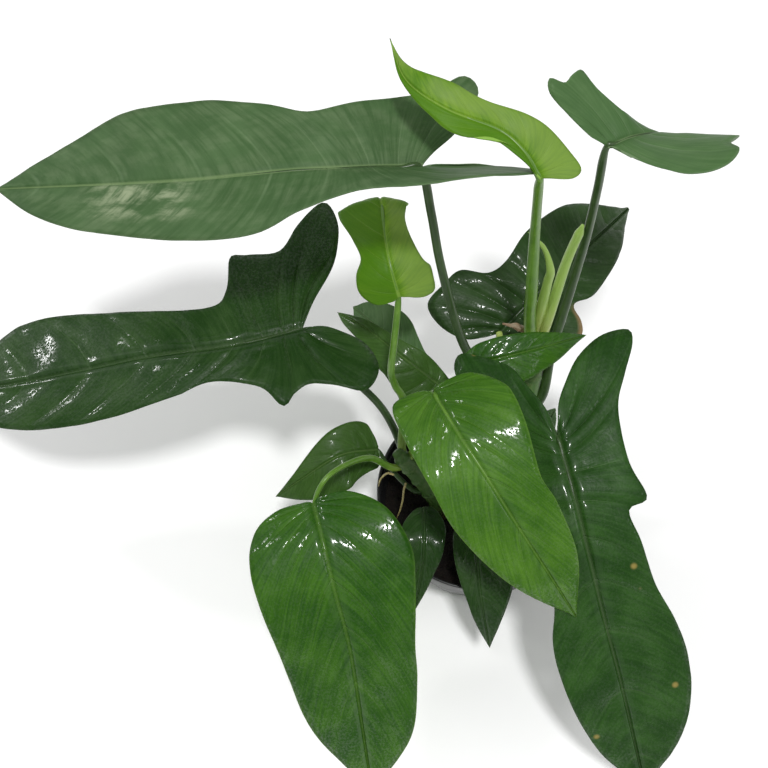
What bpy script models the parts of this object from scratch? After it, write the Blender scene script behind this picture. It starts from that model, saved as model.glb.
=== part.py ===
"""A potted philodendron: a black nursery pot of soil, two rooted stems and sixteen leaves.

The plant is written in millimetres from the middle of the soil's surface, and an outline in
hundredths of its leaf's own length, so that one blade function grows every leaf.
"""
import math

import bmesh
import bpy
from mathutils import Vector

MM = 0.001

# The pot, in metres. It stands on the floor at z = 0, with its axis on the z axis.
POT_HEIGHT = 0.100
POT_RIM_RADIUS = 0.0775
POT_BASE_RADIUS = 0.054
POT_WALL = 0.0022
POT_FLOOR = 0.0030
RIM_BAND_HEIGHT = 0.016
RIM_BAND_STEP = 0.0022
FOOT_HEIGHT = 0.003
DRAIN_HOLES = 6
DRAIN_HOLE_RADIUS = 0.005
DRAIN_HOLE_CIRCLE = 0.036
POT_SIDES = 48

# The soil, in metres.
SOIL_BELOW_RIM = 0.022
SEAT_GAP = 0.0004

# The plant's pieces, in metres.
BLADE_THICKNESS = 0.0010
LEFT_STEM_RADIUS = 0.0062
RIGHT_STEM_RADIUS = 0.0072
STEM_SWELL = 1.2
ROOT_RADIUS = 0.0007
PLANT_SCALE = 1.0

# How finely the grown pieces are cut.
BLADE_ROWS = 18
BLADE_COLUMNS = 3
TUBE_SIDES = 8
SAMPLES_PER_SPAN = 16

FLAT = (0, 0, 0, 0)
UP = (0, -0.5, 1)
LIFT_PLACES = (-0.2, 0.1, 0.4, 1.0)


def clear_scene():
    for thing in list(bpy.data.objects):
        bpy.data.objects.remove(thing, do_unlink=True)


def material(name, colour, roughness, metallic=0.0):
    made = bpy.data.materials.new(name)
    made.use_nodes = True
    shader = made.node_tree.nodes["Principled BSDF"]
    shader.inputs["Base Color"].default_value = (*colour, 1.0)
    shader.inputs["Roughness"].default_value = roughness
    shader.inputs["Metallic"].default_value = metallic
    return made


def add_object(name, mesh_data, look):
    made = bpy.data.objects.new(name, mesh_data)
    bpy.context.scene.collection.objects.link(made)
    mesh_data.materials.append(look)
    return made


def finish_mesh(name, bm, look):
    bmesh.ops.recalc_face_normals(bm, faces=bm.faces)
    mesh_data = bpy.data.meshes.new(name)
    bm.to_mesh(mesh_data)
    bm.free()
    mesh_data.shade_smooth()
    mesh_data.set_sharp_from_angle(angle=math.radians(45))
    return add_object(name, mesh_data, look)


# ---- smooth paths -----------------------------------------------------------------------------

def soil_level():
    return POT_HEIGHT - SOIL_BELOW_RIM


def planted(point):
    """A plant's point, from millimetres above the soil to metres above the floor."""
    return Vector(point) * MM * PLANT_SCALE + Vector((0, 0, soil_level()))


def through(points, per_span=SAMPLES_PER_SPAN):
    """Points along the smooth curve that passes through the given ones."""
    points = [Vector(p) for p in points]
    ends = [2 * points[0] - points[1]] + points + [2 * points[-1] - points[-2]]
    curve = []
    for a, b, c, d in zip(ends, ends[1:], ends[2:], ends[3:]):
        for step in range(per_span):
            t = step / per_span
            curve.append(0.5 * (2 * b + (c - a) * t + (2 * a - 5 * b + 4 * c - d) * t ** 2
                                + (3 * b - a - 3 * c + d) * t ** 3))
    return curve + [points[-1]]


class Path:
    """A smooth curve that is read by its share of the length, from 0 to 1."""

    def __init__(self, points):
        self.points = through(points)
        self.marks = [0.0]
        for a, b in zip(self.points, self.points[1:]):
            self.marks.append(self.marks[-1] + (b - a).length)
        self.length = self.marks[-1]

    def at(self, share):
        goal = min(max(share, 0.0), 1.0) * self.length
        index = 0
        while index < len(self.marks) - 2 and self.marks[index + 1] < goal:
            index += 1
        span = self.marks[index + 1] - self.marks[index]
        return self.points[index].lerp(self.points[index + 1], (goal - self.marks[index]) / span)

    def heading(self, share):
        return (self.at(share + 0.02) - self.at(share - 0.02)).normalized()


# ---- leaves -----------------------------------------------------------------------------------

def ramp(value, places, levels):
    """The level at a value, straight between the given places."""
    if value <= places[0]:
        return levels[0]
    for p0, p1, l0, l1 in zip(places, places[1:], levels, levels[1:]):
        if value <= p1:
            return l0 + (l1 - l0) * (value - p0) / (p1 - p0)
    return levels[-1]


class Blade:
    """A leaf's surface: a midrib, the way it faces, and how far each half is lifted."""

    def __init__(self, rib, face, lift_left, lift_right, curl):
        self.rib = Path([planted(p) for p in rib])
        self.face = [Vector(f) for f in face]
        self.lift = {1: lift_left, -1: lift_right}
        self.curl = curl

    def frame(self, share):
        ahead = self.rib.heading(min(max(share, 0.0), 1.0))
        facing = self.face[0].lerp(self.face[1], min(max(share, 0.0), 1.0))
        up = (facing - ahead * facing.dot(ahead)).normalized()
        return ahead, up, up.cross(ahead)

    def point(self, along, across, side):
        """The point at a share of the length along the midrib, and of the length beside it."""
        ahead, up, left = self.frame(along)
        base = self.rib.at(along) + ahead * (along - min(max(along, 0.0), 1.0)) * self.rib.length
        tilt = math.radians(ramp(along, LIFT_PLACES, self.lift[side]))
        reach = across * self.rib.length
        rise = reach * math.sin(tilt) - self.curl * across * reach
        return base + left * side * reach * math.cos(tilt) + up * rise


def blade_half(bm, blade, outline, side, spine, vein_sweep):
    """One half of a blade: rows run from the midrib to the outline, and columns along it."""
    flat = [Vector((a / 100, b / 100, 0)) for a, b in [(0, 0)] + outline + [(100, 0)]]
    edge = Path(flat)
    rows = [[spine[0]] * (BLADE_COLUMNS + 1)]
    for row in range(1, BLADE_ROWS):
        share = row / BLADE_ROWS
        start = share ** vein_sweep
        rim = edge.at(share)
        line = [spine[row]]
        for column in range(1, BLADE_COLUMNS + 1):
            out = column / BLADE_COLUMNS
            place = blade.point(start + (rim.x - start) * out, rim.y * out, side)
            line.append(bm.verts.new(place))
        rows.append(line)
    rows.append([spine[-1]] * (BLADE_COLUMNS + 1))
    for near, far in zip(rows, rows[1:]):
        for column in range(BLADE_COLUMNS):
            ring = [near[column], far[column], far[column + 1], near[column + 1]]
            corners = list(dict.fromkeys(ring))
            if side < 0:
                corners.reverse()
            if len(corners) > 2:
                bm.faces.new(corners)


def leaf(name, look, rib, left, right, face=(UP, UP), lift_left=FLAT, lift_right=FLAT,
         vein_sweep=1.6, curl=0.0):
    """A closed blade, with its upper face on the midrib's curve."""
    blade = Blade(rib, face, lift_left, lift_right, curl)
    bm = bmesh.new()
    spine = [bm.verts.new(blade.rib.at((row / BLADE_ROWS) ** vein_sweep))
             for row in range(BLADE_ROWS + 1)]
    blade_half(bm, blade, left, 1, spine, vein_sweep)
    blade_half(bm, blade, right, -1, spine, vein_sweep)
    mesh_data = bpy.data.meshes.new(name)
    bm.to_mesh(mesh_data)
    bm.free()
    mesh_data.shade_smooth()
    made = add_object(name, mesh_data, look)
    thick = made.modifiers.new("thickness", "SOLIDIFY")
    thick.thickness = BLADE_THICKNESS
    thick.offset = -1.0
    thick.use_rim = True
    return blade


# ---- tubes ------------------------------------------------------------------------------------

def tube(name, look, points, radii, rings, sides=TUBE_SIDES):
    """A closed round tube along a smooth path, with its radius read along it."""
    path = Path(points)
    places = [k / (len(radii) - 1) for k in range(len(radii))]
    bm = bmesh.new()
    side = path.heading(0).orthogonal().normalized()
    loops = []
    for ring in range(rings + 1):
        share = ring / rings
        ahead = path.heading(share)
        side = (side - ahead * side.dot(ahead)).normalized()
        over = ahead.cross(side)
        radius = ramp(share, places, radii)
        loop = []
        for corner in range(sides):
            turn = 2 * math.pi * corner / sides
            around = side * math.cos(turn) + over * math.sin(turn)
            loop.append(bm.verts.new(path.at(share) + around * radius))
        loops.append(loop)
    for near, far in zip(loops, loops[1:]):
        for corner in range(sides):
            beside = (corner + 1) % sides
            bm.faces.new((near[corner], near[beside], far[beside], far[corner]))
    bm.faces.new(list(reversed(loops[0])))
    bm.faces.new(loops[-1])
    return finish_mesh(name, bm, look)


def under_blade(blade, radius):
    """Where a leaf stalk ends: just under the back of its blade."""
    ahead, up, _ = blade.frame(0.0)
    return blade.rib.at(0.0) - up * (BLADE_THICKNESS + 4.5 * SEAT_GAP + radius) - ahead * radius * 0.5


def stalk(name, look, blade, points, base_radius, tip_radius, rings=9):
    """A leaf stalk, from its foot on the stem to just under its blade."""
    end_radius = tip_radius * 0.5
    path = [planted(p) for p in points] + [under_blade(blade, end_radius)]
    radii = (base_radius, *([tip_radius * 1.1] * 4), tip_radius, end_radius)
    return tube(name, look, path, radii, rings)


def beside(stem, share, stem_radius, angle, own_radius):
    """A point on a stem's flank, in millimetres above the soil, clear of the stem's skin."""
    out = Vector((math.cos(math.radians(angle)), math.sin(math.radians(angle)), 0))
    centre = stem.at(share)
    point = centre + out * (stem_radius * STEM_SWELL + SEAT_GAP + own_radius)
    return tuple((point - Vector((0, 0, soil_level()))) / (MM * PLANT_SCALE))


# ---- pot and soil -----------------------------------------------------------------------------

def turned(name, look, profile, sides=POT_SIDES):
    """A solid of revolution about the z axis, from a closed (radius, height) profile."""
    bm = bmesh.new()
    loops = []
    for radius, height in profile:
        if radius == 0:
            loops.append([bm.verts.new((0, 0, height))] * sides)
            continue
        loops.append([bm.verts.new((radius * math.cos(2 * math.pi * k / sides),
                                    radius * math.sin(2 * math.pi * k / sides), height))
                      for k in range(sides)])
    for near, far in zip(loops, loops[1:]):
        for k in range(sides):
            n = (k + 1) % sides
            corners = list(dict.fromkeys((near[k], near[n], far[n], far[k])))
            if len(corners) > 2:
                bm.faces.new(corners)
    return finish_mesh(name, bm, look)


def wall_radius(height):
    """The radius of the pot's outer wall at a height."""
    top = POT_RIM_RADIUS - RIM_BAND_STEP
    return POT_BASE_RADIUS + (top - POT_BASE_RADIUS) * height / (POT_HEIGHT - RIM_BAND_HEIGHT)


def pot(look):
    band = POT_HEIGHT - RIM_BAND_HEIGHT
    inner_top = POT_RIM_RADIUS - POT_WALL
    inner_band = wall_radius(band) - POT_WALL
    profile = [
        (0, 0), (POT_BASE_RADIUS, 0), (wall_radius(band), band), (POT_RIM_RADIUS, band + POT_WALL),
        (POT_RIM_RADIUS, POT_HEIGHT - 0.001), (POT_RIM_RADIUS - 0.001, POT_HEIGHT),
        (inner_top, POT_HEIGHT), (inner_top, band + POT_WALL), (inner_band, band),
        (wall_radius(POT_FLOOR) - POT_WALL, POT_FLOOR), (0, POT_FLOOR),
    ]
    made = turned("pot", look, profile)
    for index in range(DRAIN_HOLES):
        turn = 2 * math.pi * (index + 0.4) / DRAIN_HOLES
        centre = (DRAIN_HOLE_CIRCLE * math.cos(turn), DRAIN_HOLE_CIRCLE * math.sin(turn))
        drain_hole(made, index, centre)
    return made


def drain_hole(pot_object, index, centre):
    bpy.ops.mesh.primitive_cylinder_add(vertices=12, radius=DRAIN_HOLE_RADIUS,
                                        depth=4 * POT_FLOOR, location=(*centre, POT_FLOOR / 2))
    cutter = bpy.context.object
    cutter.name = f"drain_cutter_{index + 1}"
    cutter.hide_render = True
    cutter.display_type = "WIRE"
    cut = pot_object.modifiers.new(cutter.name, "BOOLEAN")
    cut.operation = "DIFFERENCE"
    cut.object = cutter


def soil(look):
    top = soil_level() - SEAT_GAP
    low = POT_FLOOR + SEAT_GAP
    clear = POT_WALL + SEAT_GAP
    profile = [(0, low), (wall_radius(low) - clear, low), (wall_radius(top) - clear, top), (0, top)]
    return turned("soil", look, profile)


# ---- the plant --------------------------------------------------------------------------------

def looks():
    return {
        "matte": material("old_leaf", (0.040, 0.110, 0.045), 0.55),
        "dark": material("dark_leaf", (0.012, 0.055, 0.012), 0.25),
        "fresh": material("fresh_leaf", (0.060, 0.230, 0.015), 0.30),
        "young": material("young_leaf", (0.220, 0.430, 0.030), 0.40),
        "dark_stalk": material("dark_stalk", (0.018, 0.065, 0.015), 0.35),
        "fresh_stalk": material("fresh_stalk", (0.150, 0.330, 0.025), 0.35),
        "bud": material("new_growth", (0.420, 0.560, 0.110), 0.40),
        "stem": material("stem_bark", (0.110, 0.160, 0.045), 0.55),
        "dry": material("dry_sheath", (0.230, 0.110, 0.040), 0.80),
        "root": material("air_root", (0.480, 0.400, 0.200), 0.60),
        "soil": material("potting_soil", (0.010, 0.007, 0.005), 0.95),
        "pot": material("black_plastic", (0.012, 0.012, 0.014), 0.30),
    }


def left_stem(look):
    line = [(-28, -10, 0.6), (-28, -10, 6), (-29, -10, 14), (-34, -7, 28), (-45, 0, 48), (-57, 6, 68),
            (-62, 9, 76)]
    swell = [LEFT_STEM_RADIUS * share for share in (1.0, 1.1, 0.95, 1.15, 1.0, 1.2, 0.8)]
    tube("stem_left", look, [planted(p) for p in line], swell, 16, 12)
    return Path([planted(p) for p in line])


def right_stem(look):
    line = [(25, 19, 0.6), (25, 19, 6), (25, 20, 14), (27, 28, 30), (32, 44, 58), (37, 64, 88),
            (40, 83, 112)]
    swell = [RIGHT_STEM_RADIUS * share for share in (1.0, 1.12, 0.95, 1.1, 0.92, 1.1, 0.8)]
    tube("stem_right", look, [planted(p) for p in line], swell, 18, 12)
    return Path([planted(p) for p in line])


def top_leaves(look, right):
    old = leaf("leaf_top_left", look["matte"],
               [(-50, 95, 297), (-120, 86, 305), (-195, 84, 297), (-311, 105, 262)],
               [(-7, 3), (-20, 5), (-24, 9), (-20, 15), (-8, 19), (6, 18), (18, 13), (27, 13),
                (36, 15), (46, 15), (61, 13), (76, 11), (88, 7)],
               [(-3, 3), (-9, 8), (-14, 16), (-11, 20), (-4, 17), (4, 16), (13, 15), (24, 13),
                (33, 16), (46, 19), (58, 19), (70, 17), (80, 12), (90, 7)],
               face=((0, -0.1, 1), (0, -0.1, 1)), lift_left=(50, 45, 0, 0),
               lift_right=(15, 12, 5, 5))
    stalk("stalk_top_left", look["dark_stalk"], old,
          [beside(right, 0.42, RIGHT_STEM_RADIUS, 170, 0.0034), (5, 58, 90), (-14, 70, 124),
           (-25, 78, 162), (-36, 86, 212), (-43, 92, 255)], 0.0034, 0.0026)
    young = leaf("leaf_top_young", look["young"],
                 [(15, 70, 317), (4, 82, 328), (-10, 91, 334), (-38, 98, 342), (-60, 114, 347),
                  (-69, 139, 353)],
                 [(5, 2), (20, 5), (33, 6), (42, 9), (50, 9), (60, 6), (74, 3), (88, 1)],
                 [(-2, 3), (-8, 12), (-7, 18), (2, 18), (17, 15), (34, 10), (56, 12), (75, 8),
                  (90, 2)],
                 lift_left=(30, 30, 10, 0), curl=0.3)
    stalk("stalk_top_young", look["fresh_stalk"], young,
          [beside(right, 0.96, RIGHT_STEM_RADIUS * 0.9, 185, 0.0036), (29, 83, 140),
           (28, 84, 172), (23, 88, 232), (16, 76, 300)], 0.0038, 0.0028)
    arched = leaf("leaf_top_right", look["matte"],
                  [(59, 109, 297), (76, 117, 297), (98, 130, 284), (124, 144, 254),
                   (146, 158, 212)],
                  [(-6, 7), (-12, 18), (-17, 29), (-15, 35), (-9, 31), (-4, 33), (2, 33), (6, 23),
                   (12, 12), (24, 8), (40, 12), (55, 14), (75, 10), (90, 5)],
                  [(3, 4), (6, 16), (8, 29), (12, 40), (18, 45), (24, 43), (27, 36), (35, 34),
                   (43, 29), (58, 15), (75, 9), (90, 4)],
                  face=((0, -0.3, 1), (0.3, 0.2, 0.6)), lift_left=(25, 15, -60, -70),
                  lift_right=(25, 38, 55, 0))
    stalk("stalk_top_right", look["dark_stalk"], arched,
          [beside(right, 0.62, RIGHT_STEM_RADIUS, 20, 0.0036), (52, 82, 100), (60, 104, 150),
           (63, 112, 205), (61, 111, 255)], 0.0038, 0.0027)


def back_leaves(look, right, left):
    back = leaf("leaf_back", look["dark"],
                [(15, 100, 92), (50, 133, 107), (77, 161, 107), (97, 183, 102), (130, 228, 77)],
                [(-5, 3), (-12, 9), (-15, 20), (-12, 30), (-1, 31), (8, 30), (15, 21), (24, 19),
                 (40, 22), (64, 19), (87, 6)],
                [(-2, 4), (0, 12), (8, 21), (17, 25), (24, 25), (28, 21), (31, 14), (42, 17),
                 (60, 14), (78, 8)])
    stalk("stalk_back", look["dark_stalk"], back,
          [beside(right, 0.45, RIGHT_STEM_RADIUS, 130, 0.003), (23, 66, 62), (18, 88, 76)],
          0.003, 0.0024)
    pale = leaf("leaf_back_pale", look["matte"],
                [(-40, 89, 62), (-60, 101, 72), (-79, 119, 72), (-97, 142, 62)],
                [(-6, 10), (0, 24), (14, 30), (34, 29), (60, 22), (85, 10)],
                [(-6, 6), (8, 10), (22, 17), (36, 24), (50, 26), (68, 23), (90, 13)])
    stalk("stalk_back_pale", look["dark_stalk"], pale,
          [beside(left, 0.6, LEFT_STEM_RADIUS, 60, 0.002), (-39, 34, 50), (-36, 62, 48),
           (-38, 82, 52)],
          0.0022, 0.0018)
    arrow = leaf("leaf_middle_dark", look["dark"],
                 [(-31, 59, 87), (-60, 76, 102), (-86, 99, 102), (-108, 119, 92)],
                 [(-8, 12), (2, 22), (18, 24), (36, 18), (60, 12), (87, 6)],
                 [(-8, 4), (-2, 8), (20, 12), (42, 9), (68, 6), (87, 3)])
    stalk("stalk_middle_dark", look["dark_stalk"], arrow,
          [beside(left, 0.86, LEFT_STEM_RADIUS, 20, 0.0024), (-41, 28, 70), (-33, 46, 72)],
          0.0024, 0.002)
    small = leaf("leaf_right_small", look["fresh"],
                 [(-13, 45, 144), (7, 48, 149), (35, 56, 149), (72, 75, 134)],
                 [(-4, 6), (6, 13), (18, 15), (30, 15), (49, 13), (75, 7)],
                 [(-4, 8), (6, 17), (20, 21), (38, 20), (50, 17), (64, 13), (80, 7)])
    stalk("stalk_right_small", look["dark_stalk"], small,
          [beside(right, 0.5, RIGHT_STEM_RADIUS, 210, 0.0022), (12, 40, 84), (-4, 42, 116)],
          0.0024, 0.0018)


def side_leaves(look, right, left):
    wide = leaf("leaf_left_horned", look["dark"],
                [(-127, 65, 162), (-174, 46, 172), (-229, 43, 162), (-279, 40, 147),
                 (-342, 41, 122), (-405, 51, 92)],
                [(-4, 1), (-10, 5), (-13, 9), (-13, 15), (-8, 19), (-2, 16), (4, 14), (8, 15),
                 (11, 17), (14, 11), (22, 8), (31, 11), (44, 13), (58, 13), (74, 11), (90, 5)],
                [(-5, 6), (-13, 14), (-18, 24), (-17, 31), (-9, 27), (-2, 21), (5, 22), (10, 22),
                 (15, 14), (20, 10), (30, 10), (46, 13), (60, 15), (74, 14), (88, 8)],
                face=((0, -0.1, 1), (0, -0.1, 1)), vein_sweep=2.2)
    stalk("stalk_left_horned", look["dark_stalk"], wide,
          [beside(left, 0.66, LEFT_STEM_RADIUS, 125, 0.0032), (-65, 33, 68), (-76, 41, 92),
           (-94, 49, 116), (-112, 57, 140)], 0.003, 0.0026)
    hanging = leaf("leaf_right_horned", look["dark"],
                   [(42, -11, 152), (52, -53, 142), (62, -86, 122), (74, -118, 92),
                    (87, -151, 62), (100, -184, 27), (111, -213, -3)],
                   [(-7, 2), (-12, 5), (-18, 10), (-22, 17), (-22, 24), (-18, 24), (-11, 20),
                    (-3, 16), (10, 15), (20, 17), (22, 12), (30, 13), (42, 14), (54, 17), (65, 18),
                    (77, 16), (88, 11)],
                   [(-7, 1), (-14, 4), (-20, 7), (-25, 14), (-27, 19), (-22, 21), (-10, 17),
                    (2, 15), (12, 15), (22, 10), (40, 11), (52, 14), (64, 14), (76, 12), (88, 8)],
                   vein_sweep=2.2, lift_right=(-18, -10, 0, 0))
    stalk("stalk_right_horned", look["dark_stalk"], hanging,
          [beside(right, 0.3, RIGHT_STEM_RADIUS, 300, 0.003), (44, 14, 74), (46, 4, 118)],
          0.0032, 0.0026)


def front_leaves(look, right, left):
    centre = leaf("leaf_centre", look["fresh"],
                  [(-41, 6, 182), (-25, -27, 187), (-7, -53, 177), (13, -78, 157),
                   (33, -99, 132), (55, -118, 97)],
                  [(-1, 5), (1, 14), (10, 21), (17, 22), (28, 20), (44, 15), (56, 15), (74, 12),
                   (90, 5)],
                  [(-3, 4), (-4, 12), (-1, 15), (8, 16), (27, 17), (45, 18), (66, 14), (85, 7)])
    stalk("stalk_centre", look["fresh_stalk"], centre,
          [beside(left, 0.98, LEFT_STEM_RADIUS, 10, 0.0026), (-48, 14, 110), (-42, 18, 146)],
          0.003, 0.0024)
    broad = leaf("leaf_front_left", look["fresh"],
                 [(-120, -43, 112), (-113, -69, 112), (-105, -99, 97), (-95, -132, 67),
                  (-87, -175, 12), (-81, -210, -33)],
                 [(-1, 2), (0, 11), (8, 20), (19, 24), (29, 23), (46, 19), (60, 18), (78, 15),
                  (92, 7)],
                 [(-1, 2), (-1, 11), (4, 19), (16, 22), (33, 21), (54, 19), (73, 15), (90, 7)])
    stalk("stalk_front_left", look["fresh_stalk"], broad,
          [beside(left, 0.9, LEFT_STEM_RADIUS, 215, 0.0024), (-82, -4, 97), (-99, -18, 117),
           (-112, -31, 122)], 0.003, 0.0022)
    mid = leaf("leaf_left_small", look["matte"],
               [(-76, 18, 62), (-104, 9, 72), (-134, -7, 62), (-153, -14, 47)],
               [(1, 13), (8, 17), (30, 26), (50, 27), (66, 22), (85, 11)],
               [(1, 8), (4, 14), (9, 21), (19, 24), (31, 22), (45, 17), (62, 11), (80, 5)])
    stalk("stalk_left_small", look["dark_stalk"], mid,
          [beside(left, 0.5, LEFT_STEM_RADIUS, 200, 0.0018), (-66, 6, 50)], 0.002, 0.0016, 5)
    low = leaf("leaf_low_left", look["dark"],
               [(-43, -26, 57), (-43, -51, 57), (-45, -72, 42), (-50, -94, 22)],
               [(0, 8), (8, 15), (20, 19), (33, 18), (46, 16), (62, 11), (80, 6)],
               [(1, 7), (9, 15), (20, 20), (34, 19), (50, 16), (66, 11), (82, 5)])
    stalk("stalk_low_left", look["dark_stalk"], low,
          [(-41, -14, 0.5), (-42, -16, 25)], 0.0016, 0.0014, 5)
    point = leaf("leaf_low_centre", look["dark"],
                 [(-8, -24, 47), (-6, -57, 52), (-2, -89, 37), (6, -116, 2)],
                 [(-2, 6), (8, 15), (24, 22), (42, 23), (58, 20), (70, 15), (84, 8)],
                 [(-2, 5), (6, 9), (18, 13), (32, 14), (47, 12), (60, 9), (72, 7), (86, 4)])
    stalk("stalk_low_centre", look["dark_stalk"], point,
          [(-12, -14, 0.5), (-13, -16, 25)], 0.0016, 0.0013, 5)
    unfolding = leaf("leaf_left_young", look["young"],
                     [(-62, 67, 197), (-67, 78, 212), (-71, 98, 217), (-73, 122, 212),
                      (-75, 139, 202), (-78, 167, 137)],
                     [(-1, 3), (-1, 9), (2, 13), (7, 15), (14, 14), (20, 11), (28, 13), (39, 17),
                      (48, 18), (60, 15), (80, 8)],
                     [(-1, 3), (-3, 7), (-4, 11), (-3, 15), (2, 16), (8, 16), (16, 13), (28, 10),
                      (38, 9), (48, 11), (60, 12), (80, 7)],
                     face=(UP, (0, 1, 0.3)), curl=0.9)
    stalk("stalk_left_young", look["fresh_stalk"], unfolding,
          [beside(left, 0.99, LEFT_STEM_RADIUS * 0.9, 75, 0.0026), (-58, 38, 102),
           (-64, 41, 122), (-67, 42, 142), (-65, 52, 167)], 0.003, 0.0023)


def new_growth(look):
    """The leaf still rolled up, and the pointed sheath that has opened in front of it."""
    tube("rolled_leaf", look["bud"],
         [planted(p) for p in [(47, 83, 118), (46, 84, 142), (51, 101, 184), (58, 110, 217)]],
         (0.003, 0.0036, 0.0036, 0.0034, 0.0022), 8)
    tube("sheath_point", look["bud"],
         [planted(p) for p in [(39, 85, 119), (38, 87, 145), (39, 91, 178), (39, 92, 192),
                               (33, 98, 208), (21, 101, 222)]],
         (0.0030, 0.0034, 0.003, 0.002, 0.0005), 10)


def old_growth(look):
    """What earlier leaves left behind: a cut stalk, a dry sheath and a pale leaf low down."""
    tube("cut_stalk", look["bud"], [planted(p) for p in [(10, 72, 96), (4, 76, 106), (2, 79, 114)]],
         (0.0022, 0.0026, 0.0024), 4)
    tube("dry_sheath", look["dry"],
         [planted(p) for p in [(33, 92, 114), (27, 94, 121), (21, 95, 126)]],
         (0.0012, 0.0018, 0.0006), 5)
    pale = leaf("leaf_low_right", look["matte"],
                [(45, 31, 44), (53, 46, 48), (62, 62, 42)],
                [(-2, 8), (14, 18), (36, 22), (60, 18), (84, 9)],
                [(-2, 8), (14, 18), (36, 22), (60, 18), (84, 9)])
    stalk("stalk_low_right", look["dark_stalk"], pale,
          [(46, 20, 0.5), (45, 20, 24)], 0.0018, 0.0015, 5)


def inside_rim(across, ahead, height):
    """A point above the soil, placed by shares of the rim's inner radius."""
    inner = POT_RIM_RADIUS - POT_WALL
    return Vector((across * inner, ahead * inner, soil_level() + height))


def air_roots(look):
    """Two thin roots from the left stem; the long one ends inside the pot, whatever its size."""
    radii = (ROOT_RADIUS, ROOT_RADIUS, ROOT_RADIUS * 0.5)
    tube("air_root_short", look["root"],
         [planted(p) for p in [(-65, -4, 66), (-72, -2, 60), (-76, -6, 48)]], radii, 8, 6)
    tube("air_root_long", look["root"],
         [planted((-56, -7, 56)), planted((-57, -12, 34)), inside_rim(-0.78, -0.28, 0.010)],
         radii, 8, 6)


def main():
    clear_scene()
    look = looks()
    pot(look["pot"])
    soil(look["soil"])
    left = left_stem(look["stem"])
    right = right_stem(look["stem"])
    top_leaves(look, right)
    back_leaves(look, right, left)
    side_leaves(look, right, left)
    front_leaves(look, right, left)
    new_growth(look)
    old_growth(look)
    air_roots(look)


main()
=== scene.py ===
"""The looks of a potted philodendron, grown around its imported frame.

The plant is written in millimetres from the middle of the soil's surface, and each leaf's outline
in hundredths of its own length, as in the solid model. Each blade is one closed thin sheet, with a
sunk midrib, pressed-in side veins, puckers and waves; its stalk runs on under it as the midrib.
"""

import math
import random
from bisect import bisect_left

import bmesh
import bpy
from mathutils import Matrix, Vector, noise


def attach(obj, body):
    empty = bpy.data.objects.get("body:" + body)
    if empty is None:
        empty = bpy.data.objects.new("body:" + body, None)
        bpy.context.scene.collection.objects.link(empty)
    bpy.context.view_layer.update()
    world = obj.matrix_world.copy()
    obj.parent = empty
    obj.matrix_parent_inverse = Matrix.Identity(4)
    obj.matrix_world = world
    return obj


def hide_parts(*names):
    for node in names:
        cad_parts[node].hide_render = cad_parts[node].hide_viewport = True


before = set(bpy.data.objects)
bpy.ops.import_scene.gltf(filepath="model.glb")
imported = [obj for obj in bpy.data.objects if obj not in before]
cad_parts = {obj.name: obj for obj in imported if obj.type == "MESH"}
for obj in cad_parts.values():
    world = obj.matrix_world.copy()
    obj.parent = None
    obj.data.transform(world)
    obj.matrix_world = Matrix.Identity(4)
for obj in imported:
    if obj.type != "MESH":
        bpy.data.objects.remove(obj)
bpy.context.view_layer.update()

MM = 0.001

# The pot, in metres. It stands on the floor, with its axis on the z axis.
POT_HEIGHT = 0.1
POT_RIM_RADIUS = 0.0775
POT_BASE_RADIUS = 0.054
POT_WALL = 0.0022
POT_FLOOR = 0.003
RIM_BAND_HEIGHT = 0.016
RIM_BAND_STEP = 0.0022
DRAIN_HOLES = 6
DRAIN_HOLE_RADIUS = 0.005
DRAIN_HOLE_CIRCLE = 0.036
FOOT_RING = 0.006
FOOT_LIFT = 0.001
FOOT_ROUND = 0.0015
LIP_ROUND = 0.001
POT_SIDES = 160
DRAIN_SIDES = 28
SHARP_EDGE = math.radians(40)

# The soil, in metres, and how many loose crumbs lie on it.
SOIL_LEVEL = 0.078
SOIL_GAP = 0.0004
SOIL_RADIUS = 0.07
SOIL_SIDES = 140
SOIL_RINGS = 46
SOIL_CRUMBS = 520
CRUMB_SEED = 11

# The plant, in metres.
BLADE_THICKNESS = 0.0006
STEM_RADII = {"left": 0.0062, "right": 0.0072}
SEAT_GAP = 0.0004
SPEAR_RADIUS = 0.0037
SHEATH_RADIUS = 0.0042
STUB_RADIUS = 0.0026
HUSK_RADIUS = 0.0027
ROOT_RADIUS = 0.0007

# A leaf stalk stands clear of its stem's widest knuckle, which is this much of the stem's radius,
# and the sheath that holds it grows out this share of the stem further down.
STEM_SWELL = 1.2
SHEATH_DROP = 0.07
STALK_CHANNEL = 0.16
# Where the midrib's ridge under a blade is held, as shares of the blade's length.
RIDGE_SHARES = (0.0, 0.05, 0.14, 0.28, 0.45, 0.63, 0.8, 0.93)

# A blade's rim has this many waves a side, this high as a share of its length, and rolls down.
RIM_WAVES = 2.3
RIM_WAVE = 0.006
RIM_ROLL = 0.4 * MM

# How finely the grown pieces are cut. Columns crowd towards the midrib, and rows bend as veins do.
ROWS_PER_VEIN = 12
BLADE_COLUMNS = 18
COLUMN_CROWDING = 1.5
VEIN_BEND = 0.55
SAMPLES_PER_SPAN = 16
RING_STEP = 2.2 * MM

# Which way a blade faces, how steeply its halves rise in degrees, and where along it that holds.
UP = (0, -0.5, 1)
FLAT = (0, 0, 0, 0)
LIFT_PLACES = (-0.2, 0.1, 0.4, 1.0)

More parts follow.
